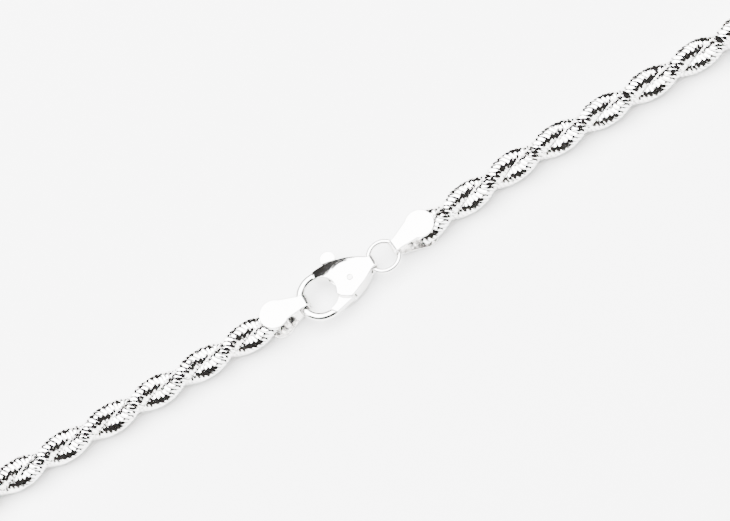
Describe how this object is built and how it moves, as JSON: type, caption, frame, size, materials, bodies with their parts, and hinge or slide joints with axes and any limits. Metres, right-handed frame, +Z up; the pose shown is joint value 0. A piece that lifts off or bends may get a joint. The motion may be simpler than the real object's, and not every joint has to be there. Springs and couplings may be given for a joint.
{
  "type": "chain necklace",
  "caption": "Rope chain necklace with bright-cut links, folded end caps, a jump ring and a lobster clasp with a sprung lever, laid flat in a closed D.",
  "frame": {"origin": "middle of the part's outline seen from above, on the surface the necklace lies on", "axes": "+X along the fastened clasp from hook to jump ring, +Y from the clasp towards the back of the neck, +Z up"},
  "size_m": [0.1847, 0.1047, 0.005],
  "materials": {
    "clasp_silver": "polished cast silver",
    "sheet_silver": "polished sheet silver",
    "wire_silver": "polished wire with bright-cut flats",
    "pin_steel": "turned steel pin, filed flush",
    "spring_steel": "drawn spring wire"
  },
  "bodies": {
    "right_end": {"right_end_cap": "sheet_silver", "chain_01_strand_a": "wire_silver", "chain_01_strand_b": "wire_silver"},
    "clasp": {"clasp_body": "clasp_silver", "lever_pivot_pin": "pin_steel", "lever_spring": "spring_steel"},
    "lever": {"clasp_lever": "clasp_silver"},
    "jump_ring": {"jump_ring": "clasp_silver"},
    "chain_02": {"chain_02_strand_a": "wire_silver", "chain_02_strand_b": "wire_silver"},
    "chain_03": {"chain_03_strand_a": "wire_silver", "chain_03_strand_b": "wire_silver"},
    "chain_04": {"chain_04_strand_a": "wire_silver", "chain_04_strand_b": "wire_silver"},
    "chain_05": {"chain_05_strand_a": "wire_silver", "chain_05_strand_b": "wire_silver"},
    "chain_06": {"chain_06_strand_a": "wire_silver", "chain_06_strand_b": "wire_silver"},
    "chain_07": {"chain_07_strand_a": "wire_silver", "chain_07_strand_b": "wire_silver"},
    "chain_08": {"chain_08_strand_a": "wire_silver", "chain_08_strand_b": "wire_silver"},
    "chain_09": {"chain_09_strand_a": "wire_silver", "chain_09_strand_b": "wire_silver"},
    "chain_10": {"chain_10_strand_a": "wire_silver", "chain_10_strand_b": "wire_silver"},
    "chain_11": {"chain_11_strand_a": "wire_silver", "chain_11_strand_b": "wire_silver"},
    "chain_12": {"chain_12_strand_a": "wire_silver", "chain_12_strand_b": "wire_silver"},
    "chain_13": {"chain_13_strand_a": "wire_silver", "chain_13_strand_b": "wire_silver"},
    "chain_14": {"chain_14_strand_a": "wire_silver", "chain_14_strand_b": "wire_silver"},
    "chain_15": {"chain_15_strand_a": "wire_silver", "chain_15_strand_b": "wire_silver"},
    "chain_16": {"chain_16_strand_a": "wire_silver", "chain_16_strand_b": "wire_silver"},
    "chain_17": {"chain_17_strand_a": "wire_silver", "chain_17_strand_b": "wire_silver"},
    "chain_18": {"chain_18_strand_a": "wire_silver", "chain_18_strand_b": "wire_silver"},
    "chain_19": {"chain_19_strand_a": "wire_silver", "chain_19_strand_b": "wire_silver"},
    "chain_20": {"chain_20_strand_a": "wire_silver", "chain_20_strand_b": "wire_silver"},
    "left_end": {"left_end_cap": "sheet_silver", "chain_21_strand_a": "wire_silver", "chain_21_strand_b": "wire_silver"}
  },
  "joints": [
    {"name": "bend_01", "type": "hinge", "parent": "right_end", "child": "chain_02", "pos_m": [0.019, -0.04653, 0.0025], "axis": [0, 0, 1], "range_deg": [-5, 5]},
    {"name": "bend_02", "type": "hinge", "parent": "chain_02", "child": "chain_03", "pos_m": [0.027, -0.04592, 0.0025], "axis": [0, 1, 0], "range_deg": [-5, 5]},
    {"name": "bend_03", "type": "hinge", "parent": "chain_03", "child": "chain_04", "pos_m": [0.037, -0.0457, 0.0025], "axis": [0, 1, 0], "range_deg": [-5, 5]},
    {"name": "bend_04", "type": "hinge", "parent": "chain_04", "child": "chain_05", "pos_m": [0.047, -0.0457, 0.0025], "axis": [0, 1, 0], "range_deg": [-5, 5]},
    {"name": "bend_05", "type": "hinge", "parent": "chain_05", "child": "chain_06", "pos_m": [0.057, -0.0457, 0.0025], "axis": [0, 1, 0], "range_deg": [-5, 5]},
    {"name": "bend_06", "type": "hinge", "parent": "chain_06", "child": "chain_07", "pos_m": [0.057, 0.03014, 0.0025], "axis": [0, 1, 0], "range_deg": [-5, 5]},
    {"name": "bend_07", "type": "hinge", "parent": "chain_07", "child": "chain_08", "pos_m": [0.047, 0.03702, 0.0025], "axis": [0, 1, 0], "range_deg": [-5, 5]},
    {"name": "bend_08", "type": "hinge", "parent": "chain_08", "child": "chain_09", "pos_m": [0.037, 0.04216, 0.0025], "axis": [0, 1, 0], "range_deg": [-5, 5]},
    {"name": "bend_09", "type": "hinge", "parent": "chain_09", "child": "chain_10", "pos_m": [0.027, 0.04586, 0.0025], "axis": [0, 1, 0], "range_deg": [-5, 5]},
    {"name": "bend_10", "type": "hinge", "parent": "chain_10", "child": "chain_11", "pos_m": [0.01972, 0.04776, 0.0025], "axis": [0, 0, 1], "range_deg": [-5, 5]},
    {"name": "bend_11", "type": "hinge", "parent": "chain_11", "child": "chain_12", "pos_m": [-0.02428, 0.04653, 0.0025], "axis": [0, 0, 1], "range_deg": [-5, 5]},
    {"name": "bend_12", "type": "hinge", "parent": "chain_12", "child": "chain_13", "pos_m": [-0.033, 0.04363, 0.0025], "axis": [0, 1, 0], "range_deg": [-5, 5]},
    {"name": "bend_13", "type": "hinge", "parent": "chain_13", "child": "chain_14", "pos_m": [-0.043, 0.03903, 0.0025], "axis": [0, 1, 0], "range_deg": [-5, 5]},
    {"name": "bend_14", "type": "hinge", "parent": "chain_14", "child": "chain_15", "pos_m": [-0.053, 0.03282, 0.0025], "axis": [0, 1, 0], "range_deg": [-5, 5]},
    {"name": "bend_15", "type": "hinge", "parent": "chain_15", "child": "chain_16", "pos_m": [-0.063, 0.02455, 0.0025], "axis": [0, 1, 0], "range_deg": [-5, 5]},
    {"name": "bend_16", "type": "hinge", "parent": "chain_16", "child": "chain_17", "pos_m": [-0.063, -0.04776, 0.0025], "axis": [0, 1, 0], "range_deg": [-5, 5]},
    {"name": "bend_17", "type": "hinge", "parent": "chain_17", "child": "chain_18", "pos_m": [-0.053, -0.04776, 0.0025], "axis": [0, 1, 0], "range_deg": [-5, 5]},
    {"name": "bend_18", "type": "hinge", "parent": "chain_18", "child": "chain_19", "pos_m": [-0.043, -0.04776, 0.0025], "axis": [0, 1, 0], "range_deg": [-5, 5]},
    {"name": "bend_19", "type": "hinge", "parent": "chain_19", "child": "chain_20", "pos_m": [-0.033, -0.04776, 0.0025], "axis": [0, 1, 0], "range_deg": [-5, 5]},
    {"name": "bend_20", "type": "hinge", "parent": "chain_20", "child": "left_end", "pos_m": [-0.025, -0.04776, 0.0025], "axis": [0, 0, 1], "range_deg": [-5, 5]},
    {"name": "clasp_roll", "type": "hinge", "parent": "right_end", "child": "clasp", "pos_m": [-0.003, -0.04776, 0.0025], "axis": [1, 0, 0], "range_deg": [-8, 8]},
    {"name": "ring_turn", "type": "hinge", "parent": "clasp", "child": "jump_ring", "pos_m": [0.0033, -0.04776, 0.0025], "axis": [0, 0, 1], "continuous": true},
    {"name": "lever_open", "type": "hinge", "parent": "clasp", "child": "lever", "pos_m": [-0.0029, -0.0486, 0.0025], "axis": [0, 0, -1], "range_deg": [0, 25], "stiffness_Nm_per_rad": 0.004, "springref_deg": -17.19, "deforming": ["lever_spring"]}
  ],
  "couplings": [
    {"joint": "bend_06", "follows": "bend_05", "ratio": -1},
    {"joint": "bend_07", "follows": "bend_04", "ratio": -1},
    {"joint": "bend_08", "follows": "bend_03", "ratio": -1},
    {"joint": "bend_09", "follows": "bend_02", "ratio": -1},
    {"joint": "bend_10", "follows": "bend_01", "ratio": -1},
    {"joint": "bend_11", "follows": "bend_01", "ratio": 1},
    {"joint": "bend_16", "follows": "bend_15", "ratio": -1},
    {"joint": "bend_17", "follows": "bend_14", "ratio": -1},
    {"joint": "bend_18", "follows": "bend_13", "ratio": -1},
    {"joint": "bend_19", "follows": "bend_12", "ratio": -1},
    {"joint": "bend_20", "follows": "bend_01", "ratio": -1}
  ]
}
